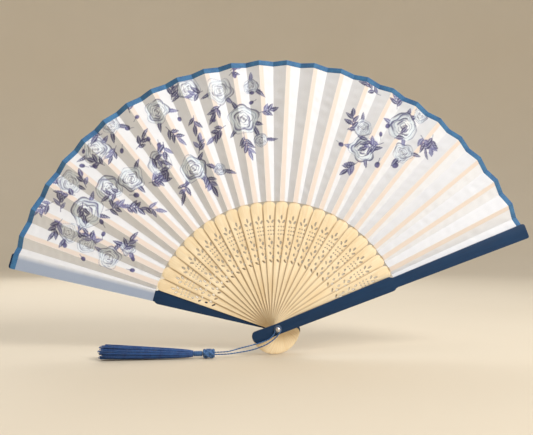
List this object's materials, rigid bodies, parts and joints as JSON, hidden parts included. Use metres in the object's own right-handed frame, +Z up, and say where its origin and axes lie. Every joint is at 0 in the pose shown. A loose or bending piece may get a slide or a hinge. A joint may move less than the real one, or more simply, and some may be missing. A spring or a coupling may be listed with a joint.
{
  "type": "folding hand fan",
  "caption": "Open folding hand fan with pierced bamboo ribs, navy guards, a pleated silk leaf printed with indigo flowers, a rivet and a cord tassel.",
  "frame": {"origin": "on the rivet's axis at the middle of the stack of blades, where the fan is held", "axes": "the open fan stands in the XZ plane and is seen from -Y; +X towards the front guard, +Y along the rivet to the rear guard, +Z up"},
  "size_m": [0.3671, 0.0296, 0.2087],
  "materials": {
    "bamboo": "pale sanded bamboo",
    "painted_guard": "satin navy lacquer",
    "leaf_silk": "thin white woven silk with an indigo flower print",
    "rivet_steel": "polished",
    "washer_steel": "dull",
    "cord": "twisted navy cord",
    "thread": "glossy blue threads"
  },
  "bodies": {
    "front_guard": {"front_guard": "painted_guard", "rivet_pin": "rivet_steel", "front_washer": "washer_steel", "rear_washer": "washer_steel", "tassel_cord_upper": "cord", "tassel_cord_lower": "cord", "tassel_bead": "cord", "tassel_neck": "cord", "tassel_skirt": "thread"},
    "rib_23": {"rib_23": "bamboo", "leaf_gore_24": "leaf_silk"},
    "rib_22": {"rib_22": "bamboo", "leaf_gore_23": "leaf_silk"},
    "rib_21": {"rib_21": "bamboo", "leaf_gore_22": "leaf_silk"},
    "rib_20": {"rib_20": "bamboo", "leaf_gore_21": "leaf_silk"},
    "rib_19": {"rib_19": "bamboo", "leaf_gore_20": "leaf_silk"},
    "rib_18": {"rib_18": "bamboo", "leaf_gore_19": "leaf_silk"},
    "rib_17": {"rib_17": "bamboo", "leaf_gore_18": "leaf_silk"},
    "rib_16": {"rib_16": "bamboo", "leaf_gore_17": "leaf_silk"},
    "rib_15": {"rib_15": "bamboo", "leaf_gore_16": "leaf_silk"},
    "rib_14": {"rib_14": "bamboo", "leaf_gore_15": "leaf_silk"},
    "rib_13": {"rib_13": "bamboo", "leaf_gore_14": "leaf_silk"},
    "rib_12": {"rib_12": "bamboo", "leaf_gore_13": "leaf_silk"},
    "rib_11": {"rib_11": "bamboo", "leaf_gore_12": "leaf_silk"},
    "rib_10": {"rib_10": "bamboo", "leaf_gore_11": "leaf_silk"},
    "rib_09": {"rib_09": "bamboo", "leaf_gore_10": "leaf_silk"},
    "rib_08": {"rib_08": "bamboo", "leaf_gore_09": "leaf_silk"},
    "rib_07": {"rib_07": "bamboo", "leaf_gore_08": "leaf_silk"},
    "rib_06": {"rib_06": "bamboo", "leaf_gore_07": "leaf_silk"},
    "rib_05": {"rib_05": "bamboo", "leaf_gore_06": "leaf_silk"},
    "rib_04": {"rib_04": "bamboo", "leaf_gore_05": "leaf_silk"},
    "rib_03": {"rib_03": "bamboo", "leaf_gore_04": "leaf_silk"},
    "rib_02": {"rib_02": "bamboo", "leaf_gore_03": "leaf_silk"},
    "rib_01": {"rib_01": "bamboo", "leaf_gore_02": "leaf_silk"},
    "rear_guard": {"rear_guard": "painted_guard", "leaf_gore_01": "leaf_silk"}
  },
  "joints": [
    {"name": "pivot_rib_23", "type": "hinge", "parent": "front_guard", "child": "rib_23", "pos_m": [0, 0, 0], "axis": [0, 1, 0], "range_deg": [0, 4.95], "deforming": ["leaf_gore_24"]},
    {"name": "pivot_rib_22", "type": "hinge", "parent": "rib_23", "child": "rib_22", "pos_m": [0, 0, 0], "axis": [0, 1, 0], "range_deg": [0, 6.05], "deforming": ["leaf_gore_23"]},
    {"name": "pivot_rib_21", "type": "hinge", "parent": "rib_22", "child": "rib_21", "pos_m": [0, 0, 0], "axis": [0, 1, 0], "range_deg": [0, 6.05], "deforming": ["leaf_gore_22"]},
    {"name": "pivot_rib_20", "type": "hinge", "parent": "rib_21", "child": "rib_20", "pos_m": [0, 0, 0], "axis": [0, 1, 0], "range_deg": [0, 6.05], "deforming": ["leaf_gore_21"]},
    {"name": "pivot_rib_19", "type": "hinge", "parent": "rib_20", "child": "rib_19", "pos_m": [0, 0, 0], "axis": [0, 1, 0], "range_deg": [0, 6.05], "deforming": ["leaf_gore_20"]},
    {"name": "pivot_rib_18", "type": "hinge", "parent": "rib_19", "child": "rib_18", "pos_m": [0, 0, 0], "axis": [0, 1, 0], "range_deg": [0, 6.05], "deforming": ["leaf_gore_19"]},
    {"name": "pivot_rib_17", "type": "hinge", "parent": "rib_18", "child": "rib_17", "pos_m": [0, 0, 0], "axis": [0, 1, 0], "range_deg": [0, 6.05], "deforming": ["leaf_gore_18"]},
    {"name": "pivot_rib_16", "type": "hinge", "parent": "rib_17", "child": "rib_16", "pos_m": [0, 0, 0], "axis": [0, 1, 0], "range_deg": [0, 6.05], "deforming": ["leaf_gore_17"]},
    {"name": "pivot_rib_15", "type": "hinge", "parent": "rib_16", "child": "rib_15", "pos_m": [0, 0, 0], "axis": [0, 1, 0], "range_deg": [0, 6.05], "deforming": ["leaf_gore_16"]},
    {"name": "pivot_rib_14", "type": "hinge", "parent": "rib_15", "child": "rib_14", "pos_m": [0, 0, 0], "axis": [0, 1, 0], "range_deg": [0, 6.05], "deforming": ["leaf_gore_15"]},
    {"name": "pivot_rib_13", "type": "hinge", "parent": "rib_14", "child": "rib_13", "pos_m": [0, 0, 0], "axis": [0, 1, 0], "range_deg": [0, 6.05], "deforming": ["leaf_gore_14"]},
    {"name": "pivot_rib_12", "type": "hinge", "parent": "rib_13", "child": "rib_12", "pos_m": [0, 0, 0], "axis": [0, 1, 0], "range_deg": [0, 6.05], "deforming": ["leaf_gore_13"]},
    {"name": "pivot_rib_11", "type": "hinge", "parent": "rib_12", "child": "rib_11", "pos_m": [0, 0, 0], "axis": [0, 1, 0], "range_deg": [0, 6.05], "deforming": ["leaf_gore_12"]},
    {"name": "pivot_rib_10", "type": "hinge", "parent": "rib_11", "child": "rib_10", "pos_m": [0, 0, 0], "axis": [0, 1, 0], "range_deg": [0, 6.05], "deforming": ["leaf_gore_11"]},
    {"name": "pivot_rib_09", "type": "hinge", "parent": "rib_10", "child": "rib_09", "pos_m": [0, 0, 0], "axis": [0, 1, 0], "range_deg": [0, 6.05], "deforming": ["leaf_gore_10"]},
    {"name": "pivot_rib_08", "type": "hinge", "parent": "rib_09", "child": "rib_08", "pos_m": [0, 0, 0], "axis": [0, 1, 0], "range_deg": [0, 6.05], "deforming": ["leaf_gore_09"]},
    {"name": "pivot_rib_07", "type": "hinge", "parent": "rib_08", "child": "rib_07", "pos_m": [0, 0, 0], "axis": [0, 1, 0], "range_deg": [0, 6.05], "deforming": ["leaf_gore_08"]},
    {"name": "pivot_rib_06", "type": "hinge", "parent": "rib_07", "child": "rib_06", "pos_m": [0, 0, 0], "axis": [0, 1, 0], "range_deg": [0, 6.05], "deforming": ["leaf_gore_07"]},
    {"name": "pivot_rib_05", "type": "hinge", "parent": "rib_06", "child": "rib_05", "pos_m": [0, 0, 0], "axis": [0, 1, 0], "range_deg": [0, 6.05], "deforming": ["leaf_gore_06"]},
    {"name": "pivot_rib_04", "type": "hinge", "parent": "rib_05", "child": "rib_04", "pos_m": [0, 0, 0], "axis": [0, 1, 0], "range_deg": [0, 6.05], "deforming": ["leaf_gore_05"]},
    {"name": "pivot_rib_03", "type": "hinge", "parent": "rib_04", "child": "rib_03", "pos_m": [0, 0, 0], "axis": [0, 1, 0], "range_deg": [0, 6.05], "deforming": ["leaf_gore_04"]},
    {"name": "pivot_rib_02", "type": "hinge", "parent": "rib_03", "child": "rib_02", "pos_m": [0, 0, 0], "axis": [0, 1, 0], "range_deg": [0, 6.05], "deforming": ["leaf_gore_03"]},
    {"name": "pivot_rib_01", "type": "hinge", "parent": "rib_02", "child": "rib_01", "pos_m": [0, 0, 0], "axis": [0, 1, 0], "range_deg": [0, 6.05], "deforming": ["leaf_gore_02"]},
    {"name": "pivot_rear_guard", "type": "hinge", "parent": "rib_01", "child": "rear_guard", "pos_m": [0, 0, 0], "axis": [0, 1, 0], "range_deg": [0, 7.14], "deforming": ["leaf_gore_01"]}
  ],
  "couplings": [
    {"joint": "pivot_rib_22", "follows": "pivot_rib_23", "ratio": 1.2202},
    {"joint": "pivot_rib_21", "follows": "pivot_rib_23", "ratio": 1.2202},
    {"joint": "pivot_rib_20", "follows": "pivot_rib_23", "ratio": 1.2202},
    {"joint": "pivot_rib_19", "follows": "pivot_rib_23", "ratio": 1.2202},
    {"joint": "pivot_rib_18", "follows": "pivot_rib_23", "ratio": 1.2202},
    {"joint": "pivot_rib_17", "follows": "pivot_rib_23", "ratio": 1.2202},
    {"joint": "pivot_rib_16", "follows": "pivot_rib_23", "ratio": 1.2202},
    {"joint": "pivot_rib_15", "follows": "pivot_rib_23", "ratio": 1.2202},
    {"joint": "pivot_rib_14", "follows": "pivot_rib_23", "ratio": 1.2202},
    {"joint": "pivot_rib_13", "follows": "pivot_rib_23", "ratio": 1.2202},
    {"joint": "pivot_rib_12", "follows": "pivot_rib_23", "ratio": 1.2202},
    {"joint": "pivot_rib_11", "follows": "pivot_rib_23", "ratio": 1.2202},
    {"joint": "pivot_rib_10", "follows": "pivot_rib_23", "ratio": 1.2202},
    {"joint": "pivot_rib_09", "follows": "pivot_rib_23", "ratio": 1.2202},
    {"joint": "pivot_rib_08", "follows": "pivot_rib_23", "ratio": 1.2202},
    {"joint": "pivot_rib_07", "follows": "pivot_rib_23", "ratio": 1.2202},
    {"joint": "pivot_rib_06", "follows": "pivot_rib_23", "ratio": 1.2202},
    {"joint": "pivot_rib_05", "follows": "pivot_rib_23", "ratio": 1.2202},
    {"joint": "pivot_rib_04", "follows": "pivot_rib_23", "ratio": 1.2202},
    {"joint": "pivot_rib_03", "follows": "pivot_rib_23", "ratio": 1.2202},
    {"joint": "pivot_rib_02", "follows": "pivot_rib_23", "ratio": 1.2202},
    {"joint": "pivot_rib_01", "follows": "pivot_rib_23", "ratio": 1.2202},
    {"joint": "pivot_rear_guard", "follows": "pivot_rib_23", "ratio": 1.4404}
  ]
}
